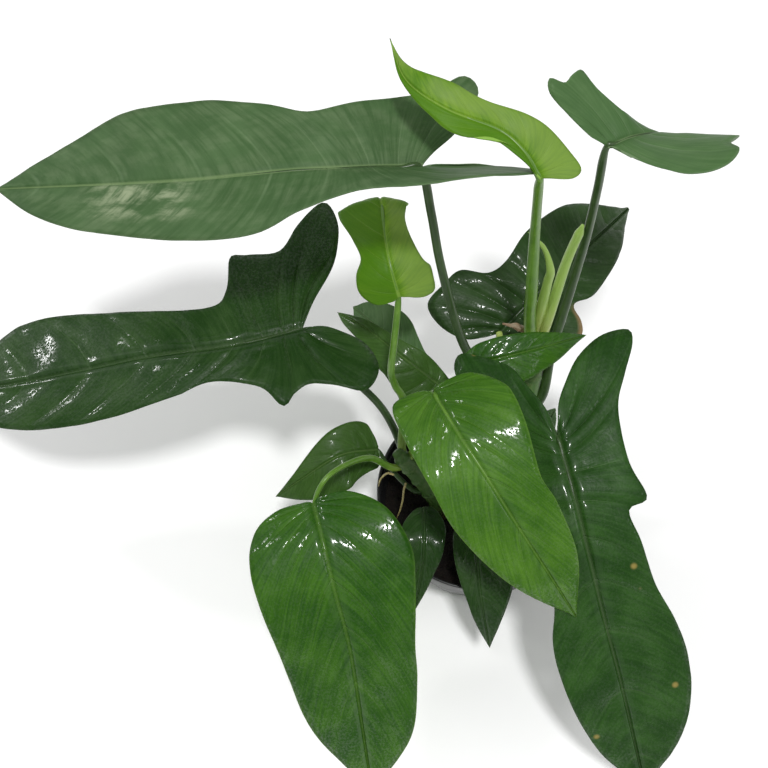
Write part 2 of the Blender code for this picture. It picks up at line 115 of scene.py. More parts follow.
# The studio, in metres, watts and millimetres of lens.
FLOOR_RADIUS = 6.0
ROOM_LIGHT = 0.54
LAMP_AIM = (-0.1, 0.0, 0.2)
LAMPS = {"key": ((0.14, -0.98, 3.55), 0.34, 70), "side": ((2.6, -0.8, 2.4), 1.6, 14),
         "back": ((-1.95, 1.06, 2.99), 0.3, 14), "left": ((-2.9, 1.15, 1.45), 0.3, 14)}
CAMERA_PLACE = (-0.072, -0.299, 0.869)
CAMERA_TILT = math.radians(27)
CAMERA_LENS = 50


# ---- shader recipes ---------------------------------------------------------------------------

class Wire:
    """The output of a shader node, which can be written in sums."""

    def __init__(self, recipe, socket):
        self.recipe = recipe
        self.socket = socket

    def math(self, operation, *values, clamp=False):
        settings = {"operation": operation, "use_clamp": clamp}
        return self.recipe.node("ShaderNodeMath", settings, dict(enumerate(values)))

    def __add__(self, other):
        return self.math("ADD", self, other)

    __radd__ = __add__

    def __sub__(self, other):
        return self.math("SUBTRACT", self, other)

    def __rsub__(self, other):
        return self.math("SUBTRACT", other, self)

    def __mul__(self, other):
        return self.math("MULTIPLY", self, other)

    __rmul__ = __mul__

    def __abs__(self):
        return self.math("ABSOLUTE", self)

    def fraction(self):
        return self.math("FRACT", self)

    def clamped(self):
        return self.math("ADD", self, 0.0, clamp=True)

    def step(self, low, high):
        """0 at low, 1 at high, and a smooth rise between them."""
        return self.recipe.node("ShaderNodeMapRange", {"interpolation_type": "SMOOTHSTEP"},
                                {"Value": self, "From Min": low, "From Max": high})


class Recipe:
    """A material under construction around one Principled shader."""

    def __init__(self, name):
        self.material = bpy.data.materials.new(name)
        self.material.use_nodes = True
        self.tree = self.material.node_tree
        self.shader = self.tree.nodes["Principled BSDF"]

    def node(self, kind, settings=None, inputs=None, output=0):
        made = self.tree.nodes.new(kind)
        for key, value in (settings or {}).items():
            setattr(made, key, value)
        for key, value in (inputs or {}).items():
            self.feed(made.inputs[key], value)
        return Wire(self, made.outputs[output])

    def feed(self, socket, value):
        if isinstance(value, Wire):
            self.tree.links.new(value.socket, socket)
        else:
            socket.default_value = value

    def finish(self, **sockets):
        """Feeds the shader's sockets, whose spaces are written as underscores."""
        for key, value in sockets.items():
            self.feed(self.shader.inputs[key.replace("_", " ")], value)
        return self.material

    def chart(self, name):
        """The two coordinates of a named UV chart, and the chart itself."""
        whole = self.node("ShaderNodeUVMap", {"uv_map": name})
        parts = self.node("ShaderNodeSeparateXYZ", {}, {0: whole})
        return parts, Wire(self, parts.socket.node.outputs["Y"]), whole

    def place(self):
        return self.node("ShaderNodeTexCoord", output="Object")

    def stretched(self, vector, scale):
        return self.node("ShaderNodeVectorMath", {"operation": "MULTIPLY"}, {0: vector, 1: scale})

    def grain(self, vector, scale, detail=3.0, roughness=0.5, distortion=0.0):
        """Soft noise, about 0.5 in the middle."""
        return self.node("ShaderNodeTexNoise", {}, {
            "Vector": vector, "Scale": scale, "Detail": detail, "Roughness": roughness,
            "Distortion": distortion})

    def cells(self, vector, scale):
        """The distance to the middle of the nearest of many scattered cells."""
        return self.node("ShaderNodeTexVoronoi", {}, {"Vector": vector, "Scale": scale})

    def mix(self, factor, first, second):
        """A colour between two colours, whose sockets have no names of their own."""
        return self.node("ShaderNodeMix", {"data_type": "RGBA"}, {
            0: factor, 6: colour(first), 7: colour(second)}, output=2)

    def bump(self, height, distance):
        return self.node("ShaderNodeBump", {}, {
            "Height": height, "Distance": distance, "Strength": 1.0})


def colour(value):
    return value if isinstance(value, Wire) or len(value) == 4 else (*value, 1.0)


def leaf_finish(name, deep, bright, vein, rib, roughness, coat=0.0, vein_show=0.3, rib_show=0.6,
                dust=0.0, pucker=0.0002, margin=0.35, rust=0.0, mottle_and_painted_light=0.0, scorch=0.0):
    """The upper face of a blade: mottled green, with a midrib, side veins and a thin margin."""
    r = Recipe(name)
    vein_count, across, _ = r.chart("veins")
    rib_distance, _, _ = r.chart("rib")
    along, _, sheet = r.chart("flat")
    # Main veins lie on the half numbers; finer ones lie between them.
    off_vein = abs(vein_count.fraction() - 0.5)
    out = abs(across)
    main_vein = (1 - off_vein.step(0.004, 0.04)) * (1 - out.step(0.3, 0.95))
    fine_vein = 1 - abs((vein_count * 7).fraction() - 0.5).step(0.02, 0.22)
    streak_place = r.node("ShaderNodeCombineXYZ", {}, {0: vein_count * 9.0, 1: across * 1.6})
    streak = r.grain(streak_place, 1.0, detail=4.0, roughness=0.6)
    broad = r.grain(sheet, 26.0, detail=2.0)
    cloud = r.grain(sheet, 70.0, detail=4.0, roughness=0.6, distortion=0.6)
    speck = r.cells(sheet, 420.0)
    between = (off_vein * 2).clamped()
    tone = (broad * 0.7 + cloud * 0.25 + streak * 0.75 - 0.35 - between * 0.08).step(0.25, 0.78)
    # Painted shade: on the young leaves the left half is pushed towards the deep green, as a half
    # turned away from the lamps would look.
    if mottle_and_painted_light:
        tone = tone * (1 - across.step(-0.05, 0.12) * 0.75)
    green = r.mix(tone, deep, bright)
    veined = (main_vein * 0.8 + fine_vein * streak * 0.25) * vein_show
    green = r.mix(veined.clamped(), green, vein)
    rib_mask = 1 - abs(rib_distance).step(0.35, 1.15)
    green = r.mix(rib_mask * rib_show, green, rib)
    edge = out.step(0.972, 0.997)
    green = r.mix(edge * margin, green, vein)
    if dust:
        patch = r.grain(r.stretched(sheet, (1.0, 2.6, 1.0)), 30.0, detail=5.0, roughness=0.62)
        # Most of the dust lies on the left half, towards the tip.
        zone = along.step(0.12, 0.15) * (1 - along.step(0.18, 0.21)) * across.step(-0.05, 0.1)
        zone = zone * (1 - out.step(0.5, 0.9)) + 0.14
        scuff = patch.step(0.4, 0.62) * streak.step(0.3, 0.6) * zone * dust
        green = r.mix(scuff.clamped(), green, (0.25, 0.3, 0.18))
    if rust:
        spot = 1 - r.cells(sheet, 30.0).step(0.03, 0.095)
        green = r.mix(spot * rust, green, (0.24, 0.19, 0.05))
    # Painted sheen: on the young leaves, pale patches on the right half stand for light mirrored
    # off the half that faces up.
    if mottle_and_painted_light:
        bud_wax_and_painted_sheen = (1 - across.step(-0.1, 0.1)) * broad.step(0.3, 0.6) * out.step(0.02, 0.35)
        green = r.mix(bud_wax_and_painted_sheen * mottle_and_painted_light, green, (0.17, 0.26, 0.06))
    if scorch:
        burnt = (1 - across.step(-0.985, -0.91)) * (1 - abs(vein_count - 3.3).step(0.9, 1.7))
        green = r.mix(burnt * scorch, green, r.mix(cloud, (0.1, 0.05, 0.02), (0.34, 0.26, 0.13)))
    pores = 1 - speck.step(0.05, 0.3)
    height = (cloud * 1.1 + r.grain(sheet, 300.0, detail=3.0) * 0.55 + pores * 0.1
              - main_vein * 0.8 - fine_vein * 0.08)
    shine = roughness + (cloud - 0.5) * 0.22 + (broad - 0.5) * 0.12 + rib_mask * 0.08
    # The wax is broken into small flecks, so a light is mirrored as sparks.
    flecks = (r.grain(sheet, 560.0, detail=2.0) * 0.7 + cloud * 0.3).step(0.485, 0.555)
    # The two ridges beside the midrib are worn glossy.
    ridge = abs(rib_distance).step(1.1, 1.9) * (1 - abs(rib_distance).step(3.2, 4.6))
    flecks = (flecks + ridge * speck.step(0.15, 0.4)).clamped()
    return r.finish(Base_Color=green, Roughness=shine.clamped(), Coat_Weight=flecks * coat,
                    Coat_Roughness=0.13, IOR=1.42, Specular_IOR_Level=0.18,
                    Normal=r.bump(height, pucker))


def underside_finish(name, deep, bright, vein):
    """The back of a blade: paler and duller, with its veins raised."""
    r = Recipe(name)
    vein_count, across, _ = r.chart("veins")
    _, _, sheet = r.chart("flat")
    off_vein = abs(vein_count.fraction() - 0.5)
    main_vein = (1 - off_vein.step(0.02, 0.12)) * (1 - abs(across).step(0.3, 1.0))
    cloud = r.grain(sheet, 60.0, detail=4.0, roughness=0.6)
    green = r.mix(cloud.step(0.3, 0.7), deep, bright)
    green = r.mix(main_vein * 0.5, green, vein)
    height = main_vein * 0.6 + cloud * 0.5
    return r.finish(Base_Color=green, Roughness=0.55 + (cloud - 0.5) * 0.2,
                    Normal=r.bump(height, 0.0003))


def stalk_finish(name, deep, bright, fleck, base=None):
    """A leaf stalk: fine lines along it, flecks, and a paler foot."""
    r = Recipe(name)
    along, _, sheet = r.chart("flat")
    lines = r.grain(r.stretched(sheet, (14.0, 900.0, 1.0)), 1.0, detail=3.0)
    cloud = r.grain(sheet, 90.0, detail=3.0)
    flecks = 1 - r.cells(r.stretched(sheet, (0.35, 1.0, 1.0)), 520.0).step(0.1, 0.26)
    green = r.mix((lines * 0.6 + cloud * 0.6 - 0.1).step(0.2, 0.8), deep, bright)
    green = r.mix(flecks * 0.35, green, fleck)
    if base:
        green = r.mix(1 - along.step(0.0, 0.03), green, base)
    height = lines * 0.7 + cloud * 0.5
    return r.finish(Base_Color=green, Roughness=0.34 + (cloud - 0.5) * 0.25,
                    Normal=r.bump(height, 0.00012))


def bud_finish(name, low, high):
    """New growth: pale and waxy, yellower low down, with faint lines along it."""
    r = Recipe(name)
    along, _, sheet = r.chart("flat")
    lines = r.grain(r.stretched(sheet, (20.0, 1100.0, 1.0)), 1.0, detail=3.0)
    cloud = r.grain(sheet, 80.0, detail=3.0)
    bud_wax_and_painted_sheen = r.mix(along.step(0.0, 0.055), low, high)
    bud_wax_and_painted_sheen = r.mix((lines - 0.35).clamped() * 0.8, bud_wax_and_painted_sheen, (0.11, 0.26, 0.03))
    return r.finish(Base_Color=bud_wax_and_painted_sheen, Roughness=0.32 + (cloud - 0.5) * 0.2,
                    Normal=r.bump(lines * 0.8 + cloud * 0.6, 0.00012))


def stem_finish(name):
    """The old stem: green under a corky skin, browner at its rings and foot."""
    r = Recipe(name)
    along, _, sheet = r.chart("flat")
    skin = r.grain(r.stretched(sheet, (1.0, 3.0, 1.0)), 110.0, detail=5.0, roughness=0.65)
    rings = r.grain(r.stretched(sheet, (240.0, 14.0, 1.0)), 1.0, detail=3.0)
    corky = (skin * 0.8 + rings * 0.5).step(0.58, 0.88)
    bark = r.mix(corky, (0.04, 0.11, 0.012), (0.085, 0.135, 0.034))
    bark = r.mix(1 - along.step(0.004, 0.03), bark, (0.045, 0.03, 0.014))
    return r.finish(Base_Color=bark, Roughness=0.5 + (skin - 0.5) * 0.3,
                    Normal=r.bump(skin + rings * 0.7, 0.0006))


def paper_finish(name, pale, brown):
    """A dried sheath: thin, fibrous and frayed."""
    r = Recipe(name)
    _, _, sheet = r.chart("flat")
    fibres = r.grain(r.stretched(sheet, (40.0, 1300.0, 1.0)), 1.0, detail=4.0)
    cloud = r.grain(sheet, 160.0, detail=4.0)
    skin = r.mix((cloud * 0.7 + fibres * 0.5).step(0.35, 0.85), brown, pale)
    return r.finish(Base_Color=skin, Roughness=0.75 + (cloud - 0.5) * 0.2,
                    Normal=r.bump(fibres + cloud * 0.5, 0.0003))


def root_finish(name):
    """A straw-coloured air root, which browns towards its tip."""
    r = Recipe(name)
    along, _, sheet = r.chart("flat")
    cloud = r.grain(sheet, 500.0, detail=4.0)
    bark = r.mix(cloud.step(0.3, 0.7), (0.2, 0.15, 0.05), (0.42, 0.36, 0.16))
    bark = r.mix(along.step(0.035, 0.055), bark, (0.1, 0.06, 0.025))
    return r.finish(Base_Color=bark, Roughness=0.6 + (cloud - 0.5) * 0.2,
                    Normal=r.bump(cloud, 0.0004))


def soil_finish(name):
    """Damp peat, almost black, with brown fibres and a few paler grains."""
    r = Recipe(name)
    place = r.place()
    crumb = r.grain(place, 260.0, detail=6.0, roughness=0.7)
    patch = r.grain(place, 60.0, detail=3.0)
    grains = 1 - r.cells(place, 330.0).step(0.02, 0.16)
    earth = r.mix((crumb * 0.7 + patch * 0.5).step(0.45, 0.85), (0.003, 0.0024, 0.0019),
                  (0.014, 0.009, 0.006))
    earth = r.mix(grains * 0.1, earth, (0.14, 0.11, 0.08))
    return r.finish(Base_Color=earth, Roughness=0.82 + (crumb - 0.5) * 0.25,
                    Specular_IOR_Level=0.2, Normal=r.bump(crumb, 0.003))


def plastic_finish(name):
    """Black nursery plastic: a soft gloss, fine scuffs and water marks."""
    r = Recipe(name)
    place = r.place()
    scuff = r.grain(r.stretched(place, (1.0, 1.0, 7.0)), 95.0, detail=5.0, roughness=0.65)
    mottle_and_painted_light = r.grain(place, 30.0, detail=3.0)
    skin = r.grain(place, 900.0, detail=2.0)
    black = r.mix(mottle_and_painted_light.step(0.45, 0.8), (0.006, 0.006, 0.0065), (0.02, 0.02, 0.021))
    black = r.mix(scuff.step(0.62, 0.8) * 0.5, black, (0.05, 0.05, 0.05))
    return r.finish(Base_Color=black, Roughness=0.26 + (scuff - 0.35) * 0.35,
                    Normal=r.bump(skin * 0.6 + scuff * 0.4, 0.00006))


def floor_finish(name):
    r = Recipe(name)
    cloud = r.grain(r.place(), 3.0, detail=2.0)
    return r.finish(Base_Color=r.mix(cloud, (0.955, 0.955, 0.955), (0.97, 0.97, 0.97)),
                    Roughness=0.9)


# The marks that several upper faces share.
DARK_MARKS = {"vein_show": 0.35, "rib_show": 0.55, "pucker": 0.0004, "margin": 0.15}
FRESH_MARKS = {"coat": 0.5, "vein_show": 0.2, "pucker": 0.00035}

# Each upper face: its deep and bright greens, its veins, its midrib, its roughness and its marks.
LEAF_TOPS = {
    "old": ((0.05, 0.112, 0.034), (0.088, 0.165, 0.06), (0.13, 0.21, 0.1),
            (0.15, 0.22, 0.1), 0.5, {"vein_show": 0.45, "rib_show": 0.7}),
    "mid": ((0.026, 0.07, 0.008), (0.048, 0.108, 0.02), (0.09, 0.16, 0.05),
            (0.1, 0.17, 0.05), 0.44, {"coat": 0.2, "rib_show": 0.5, "pucker": 0.00035}),
    "dusty": ((0.038, 0.086, 0.026), (0.066, 0.126, 0.047), (0.12, 0.19, 0.09),
              (0.13, 0.2, 0.08), 0.54, {"vein_show": 0.4, "rib_show": 0.8, "dust": 0.85}),
    "dark": ((0.008, 0.034, 0.003), (0.025, 0.062, 0.013), (0.055, 0.105, 0.036),
             (0.05, 0.09, 0.034), 0.42,
             {**DARK_MARKS, "coat": 0.44}),
    "spotted": ((0.01, 0.043, 0.004), (0.027, 0.083, 0.012), (0.048, 0.11, 0.026),
                (0.06, 0.105, 0.04), 0.43,
                {**DARK_MARKS, "coat": 0.38, "rib_show": 0.65, "rust": 1.0}),
    "burnt": ((0.012, 0.038, 0.005), (0.028, 0.064, 0.016), (0.055, 0.105, 0.036),
              (0.05, 0.09, 0.034), 0.44,
              {**DARK_MARKS, "coat": 0.25, "scorch": 1.0}),
    "fresh": ((0.026, 0.092, 0.004), (0.068, 0.172, 0.012), (0.14, 0.27, 0.05),
              (0.16, 0.28, 0.06), 0.45,
              {**FRESH_MARKS, "rib_show": 0.35}),
    "ripe": ((0.012, 0.06, 0.002), (0.04, 0.124, 0.006), (0.11, 0.22, 0.04),
             (0.14, 0.25, 0.05), 0.45,
             {**FRESH_MARKS, "rib_show": 0.26}),
    # The young leaves carry painted shade on their left halves and a painted sheen on their right
    # halves.
    "young": ((0.055, 0.155, 0.003), (0.15, 0.285, 0.012), (0.18, 0.31, 0.05),
              (0.21, 0.34, 0.06), 0.46,
              {"vein_show": 0.25, "pucker": 0.00018, "mottle_and_painted_light": 0.55}),
}

# The material slot that each upper face stands in, and the back that goes with it.
LEAF_KINDS = {
    **dict.fromkeys(("old", "dusty"), ("old_leaf", "old_back")),
    **dict.fromkeys(("mid", "dark", "spotted", "burnt"), ("dark_leaf", "dark_back")),
    **dict.fromkeys(("fresh", "ripe"), ("fresh_leaf", "fresh_back")),
    "young": ("young_leaf", "young_back"),
}

# Each back: its deep and bright greens and its veins.
LEAF_BACKS = {
    "old": ((0.1, 0.17, 0.075), (0.14, 0.22, 0.1), (0.19, 0.27, 0.12)),
    "dark": ((0.055, 0.11, 0.035), (0.085, 0.15, 0.05), (0.13, 0.2, 0.08)),
    "fresh": ((0.1, 0.22, 0.035), (0.15, 0.29, 0.055), (0.22, 0.36, 0.1)),
    "young": ((0.17, 0.34, 0.03), (0.25, 0.44, 0.06), (0.34, 0.5, 0.12)),
}


def finishes():
    """Every material of the plant and its pot, by its plain name."""
    look = {
        "dark_stalk": stalk_finish("dark_stalk_skin", (0.012, 0.036, 0.004),
                                   (0.036, 0.08, 0.016), fleck=(0.07, 0.11, 0.04)),
        "fresh_stalk": stalk_finish("fresh_stalk_skin", (0.055, 0.15, 0.007),
                                    (0.115, 0.24, 0.022), fleck=(0.2, 0.33, 0.07),
                                    base=(0.21, 0.31, 0.05)),
        "bud": bud_finish("new_growth_wax", (0.42, 0.47, 0.12), (0.24, 0.37, 0.07)),
        "bark": stem_finish("stem_bark_skin"),
        "paper": paper_finish("dry_sheath_paper", (0.3, 0.27, 0.2), (0.2, 0.09, 0.03)),
        "root": root_finish("air_root_skin"),
        "soil": soil_finish("damp_peat"),
        "plastic": plastic_finish("black_plastic_skin"),
    }
    for kind, (*greens, marks) in LEAF_TOPS.items():
        look[kind] = leaf_finish(kind + "_leaf_top", *greens, **marks)
    for kind, greens in LEAF_BACKS.items():
        look[kind + "_back"] = underside_finish(kind + "_leaf_back", *greens)
    return look


# ---- smooth paths -----------------------------------------------------------------------------

def planted(point):
    """A plant's point, from millimetres above the soil to metres above the floor."""
    return Vector(point) * MM + Vector((0, 0, SOIL_LEVEL))


def through(points, per_span=SAMPLES_PER_SPAN):
    """Points along the smooth curve that passes through the given ones."""
    points = [Vector(p) for p in points]
    ends = [2 * points[0] - points[1]] + points + [2 * points[-1] - points[-2]]
    curve = []
    for a, b, c, d in zip(ends, ends[1:], ends[2:], ends[3:]):
        for step in range(per_span):
            t = step / per_span
            curve.append(0.5 * (2 * b + (c - a) * t + (2 * a - 5 * b + 4 * c - d) * t ** 2
                                + (3 * b - a - 3 * c + d) * t ** 3))
    return curve + [points[-1]]


class Path:
    """A smooth curve that is read by its share of the length, from 0 to 1."""

    def __init__(self, points):
        self.points = through(points)
        self.marks = [0.0]
        for a, b in zip(self.points, self.points[1:]):
            self.marks.append(self.marks[-1] + (b - a).length)
        self.length = self.marks[-1]

    def at(self, share):
        goal = min(max(share, 0.0), 1.0) * self.length
        index = min(max(bisect_left(self.marks, goal) - 1, 0), len(self.marks) - 2)
        span = self.marks[index + 1] - self.marks[index]
        return self.points[index].lerp(self.points[index + 1], (goal - self.marks[index]) / span)

    def heading(self, share):
        return (self.at(share + 0.02) - self.at(share - 0.02)).normalized()


def grown(points):
    """A smooth curve through a plant's points."""
    return Path([planted(p) for p in points])


def eased(value, places, levels):
    """The level at a value, with a smooth change between the given places."""
    if value <= places[0]:
        return levels[0]
    for p0, p1, l0, l1 in zip(places, places[1:], levels, levels[1:]):
        if value <= p1:
            t = (value - p0) / (p1 - p0)
            return l0 + (l1 - l0) * t * t * (3 - 2 * t)
    return levels[-1]


def hump(value, width):
    """1 at nothing, falling away smoothly over a width on both sides."""
    return math.exp(-(value / width) ** 2)


# ---- leaves -----------------------------------------------------------------------------------

class Blade:
    """A leaf's surface: a midrib, the way it faces, how its halves lift, and its fine relief."""

    def __init__(self, rib, left, right, stalk, face=(UP, UP), lift_left=FLAT, lift_right=FLAT,
                 vein_sweep=2.3, curl=0.0, veins=8, crease=0.35, pillow=0.5, pucker=0.5,
                 groove=0.7, look="old", back=None, seed=0):
        self.rib = grown(rib)
        self.outline = {1: left, -1: right}
        self.stalk = stalk
        self.face = [Vector(f) for f in face]
        self.lift = {1: lift_left, -1: lift_right}
        self.vein_sweep = vein_sweep
        self.curl = curl
        self.veins = veins
        self.crease = crease * MM
        self.pillow = pillow * MM
        self.pucker = pucker * MM
        self.groove = groove * MM
        self.look = look
        self.back = back or LEAF_KINDS[look][1]
        self.seed = seed

    def frame(self, share):
        """Which ways are ahead, up and left at a share of the midrib."""
        share = min(max(share, 0.0), 1.0)
        ahead = self.rib.heading(share)
        facing = self.face[0].lerp(self.face[1], share)
        up = (facing - ahead * facing.dot(ahead)).normalized()
        return ahead, up, up.cross(ahead)

    def rib_width(self, along):
        """The half-width of the sunk midrib, which thins towards the tip."""
        return (0.35 + 0.0065 * self.rib.length / MM * (1 - 0.85 * min(max(along, 0), 1))) * MM

    def relief(self, along, across, side, row_share, out):
        """How far the upper face stands above the plain blade."""
        length = self.rib.length
        reach = across * length
        width = self.rib_width(along)
        shoulder = 0.45 * hump(reach - 2.6 * width, 1.6 * width)
        sunk = self.groove * (shoulder - hump(reach, width))
        count = row_share * self.veins
        off_vein = abs(count % 1 - 0.5)
        fade = min(1.0, reach / (6 * width)) * (1 - out) ** 0.55 * min(1.0, (1 - row_share) * 5)
        swell = self.pillow * math.sin(math.pi * off_vein) - self.crease * hump(off_vein, 0.07)
        place = Vector((along * length, side * across * length, self.seed * 0.31)) / MM
        lumps = self.pucker * (noise.noise(place / 17) + 0.45 * noise.noise(place / 7))
        turns = RIM_WAVES * along + 0.37 * side
        ripple = RIM_WAVE * length * out ** 2.2 * math.sin(2 * math.pi * turns)
        return (sunk + fade * swell + lumps * min(1.0, reach / (4 * width)) + ripple
                - RIM_ROLL * out ** 8)

    def point(self, along, across, side, row_share=0.0, out=0.0):
        """The point at a share of the length along the midrib, and of the length beside it."""
        ahead, up, left = self.frame(along)
        base = self.rib.at(along) + ahead * (along - min(max(along, 0.0), 1.0)) * self.rib.length
        tilt = math.radians(eased(along, LIFT_PLACES, self.lift[side]))
        reach = across * self.rib.length
        level = self.relief(along, across, side, row_share, out)
        sideways = left * side
        rise = reach * math.sin(tilt) - self.curl * across * reach
        flat = base + sideways * reach * math.cos(tilt) + up * rise
        return flat + (up * math.cos(tilt) - sideways * math.sin(tilt)) * level


def blade_half(bm, blade, side, spine, charts):
    """One half of a blade: rows run from the midrib to the outline, along the side veins."""
    rows = blade.veins * ROWS_PER_VEIN
    corners = [(0, 0)] + blade.outline[side] + [(100, 0)]
    edge = Path([Vector((a / 100, b / 100, 0)) for a, b in corners])
    length = blade.rib.length
    grid = [[spine[0]] * (BLADE_COLUMNS + 1)]
    for row in range(1, rows):
        share = row / rows
        start = share ** blade.vein_sweep
        rim = edge.at(share)
        line = [spine[row]]
        for column in range(1, BLADE_COLUMNS + 1):
            out = (column / BLADE_COLUMNS) ** COLUMN_CROWDING
            along = start + (rim.x - start) * (VEIN_BEND * out + 1 - VEIN_BEND) * out
            across = max(rim.y, 0.0) * out
            vert = bm.verts.new(blade.point(along, across, side, share, out))
            reach = side * across * length
            charts[vert] = ((share * blade.veins, side * out), (along * length, reach),
                            (reach / blade.rib_width(along), along))
            line.append(vert)
        grid.append(line)
    grid.append([spine[-1]] * (BLADE_COLUMNS + 1))
    for near, far in zip(grid, grid[1:]):
        for column in range(BLADE_COLUMNS):
            ring = [near[column], far[column], far[column + 1], near[column + 1]]
            corners = list(dict.fromkeys(ring))
            if side < 0:
                corners.reverse()
            if len(corners) > 2:
                bm.faces.new(corners)


def leaf(name, blade, look):
    """A closed thin blade, with its upper face on the midrib's curve."""
    bm = bmesh.new()
    charts = {}
    rows = blade.veins * ROWS_PER_VEIN
    spine = []
    for row in range(rows + 1):
        share = row / rows
        along = share ** blade.vein_sweep
        spine.append(bm.verts.new(blade.point(along, 0.0, 1, share, 0.0)))
        charts[spine[-1]] = ((share * blade.veins, 0), (along * blade.rib.length, 0), (0, along))
    blade_half(bm, blade, 1, spine, charts)
    blade_half(bm, blade, -1, spine, charts)
    add_charts(bm, charts, ("veins", "flat", "rib"))
    made = add_object("blade_leaf_" + name, bm, look[blade.look])
    made.data.materials.append(look[blade.back])
    thick = made.modifiers.new("thickness", "SOLIDIFY")
    thick.thickness = BLADE_THICKNESS
    thick.offset = -1.0
    thick.material_offset = 1
    return made


def add_charts(bm, charts, names):
    """Lays the charts of each vertex, in the order of their names, on the faces' corners."""
    for index, name in enumerate(names):
        layer = bm.loops.layers.uv.new(name)
        for face in bm.faces:
            for loop in face.loops:
                loop[layer].uv = charts[loop.vert][index]


def add_object(name, bm, look, sharp=None):
    mesh_data = bpy.data.meshes.new(name)
    bm.to_mesh(mesh_data)
    bm.free()
    mesh_data.shade_smooth()
    if sharp:
        mesh_data.set_sharp_from_angle(angle=sharp)
    made = bpy.data.objects.new(name, mesh_data)
    bpy.context.scene.collection.objects.link(made)
    mesh_data.materials.append(look)
    return made


# ---- tubes ------------------------------------------------------------------------------------

def tube(name, look, path, radius, rings, sides, section):
    """A closed tube along a path: radius(share) is its size, section(angle, share) its shape."""
    bm = bmesh.new()
    charts = {}
    side = path.heading(0).orthogonal().normalized()
    loops = []
    for ring in range(rings + 1):
        share = ring / rings
        ahead = path.heading(share)
        side = (side - ahead * side.dot(ahead)).normalized()
        over = ahead.cross(side)
        size = radius(share)
        centre = path.at(share)
        loop = []
        for corner in range(sides):
            turn = 2 * math.pi * corner / sides
            reach = size * section(turn, share)
            around = side * math.cos(turn) + over * math.sin(turn)
            vert = bm.verts.new(centre + around * reach)
            charts[vert] = ((share * path.length, turn * size),)
            loop.append(vert)
        loops.append(loop)
    for near, far in zip(loops, loops[1:]):
        for corner in range(sides):
            after = (corner + 1) % sides
            bm.faces.new((near[corner], near[after], far[after], far[corner]))
    for loop, centre, lean in ((loops[0], path.at(0), -path.heading(0)),
                               (loops[-1], path.at(1), path.heading(1))):
        size = radius(0) if loop is loops[0] else radius(1)
        cap = bm.verts.new(centre + lean * size * 0.5)
        charts[cap] = charts[loop[0]]
        for corner in range(sides):
            ends = (loop[corner], loop[(corner + 1) % sides])
            bm.faces.new((*(reversed(ends) if loop is loops[0] else ends), cap))
    add_charts(bm, charts, ("flat",))
    return add_object(name, bm, look)


def channelled(turn, share):
    """A leaf stalk's section: round, with a shallow channel along one side."""
    return 1 - STALK_CHANNEL * hump(math.sin(turn / 2 - 0.6), 0.28)


def beside(stem, share, stem_radius, angle, own_radius):
    """The middle of a leaf stalk that stands on a stem's flank."""
    out = Vector((math.cos(math.radians(angle)), math.sin(math.radians(angle)), 0))
    return stem.at(share) + out * (stem_radius * STEM_SWELL + SEAT_GAP + own_radius)


def stalk(name, look, blade, feet, points, base_radius, tip_radius):
    """A leaf stalk that runs on under its blade as the raised midrib."""
    base_radius *= MM
    tip_radius *= MM
    stem_part = feet + [planted(p) for p in points]
    under = []
    for share in RIDGE_SHARES:
        _, up, _ = blade.frame(share)
        sunk = 0.55 * (0.62 - 0.52 * share) if share else 0.75
        drop = BLADE_THICKNESS + blade.groove + tip_radius * sunk
        under.append(blade.rib.at(share) - up * drop)
    path = Path(stem_part + under)
    joint = Path(stem_part + under[:1]).length / path.length
    places = (0.0, 0.05 * joint, 0.25 * joint, 0.93 * joint, min(joint * 1.02, 0.999), 1.0)
    sizes = (base_radius * 1.35, base_radius * 1.1, base_radius, tip_radius,
             tip_radius * 0.72, 0.3 * MM)
    rings = max(30, int(path.length / RING_STEP))
    return tube("petiole_" + name, look, path, lambda s: eased(s, places, sizes), rings, 16,
                channelled)


# ---- the leaves ------------------------------------------------------------------------------

# The relief of the large leaves with horned lobes, in millimetres.
HORNED = {"vein_sweep": 2.6, "veins": 11, "crease": 1.0, "pillow": 1.3, "pucker": 0.9,
          "groove": 1.8, "look": "dark"}

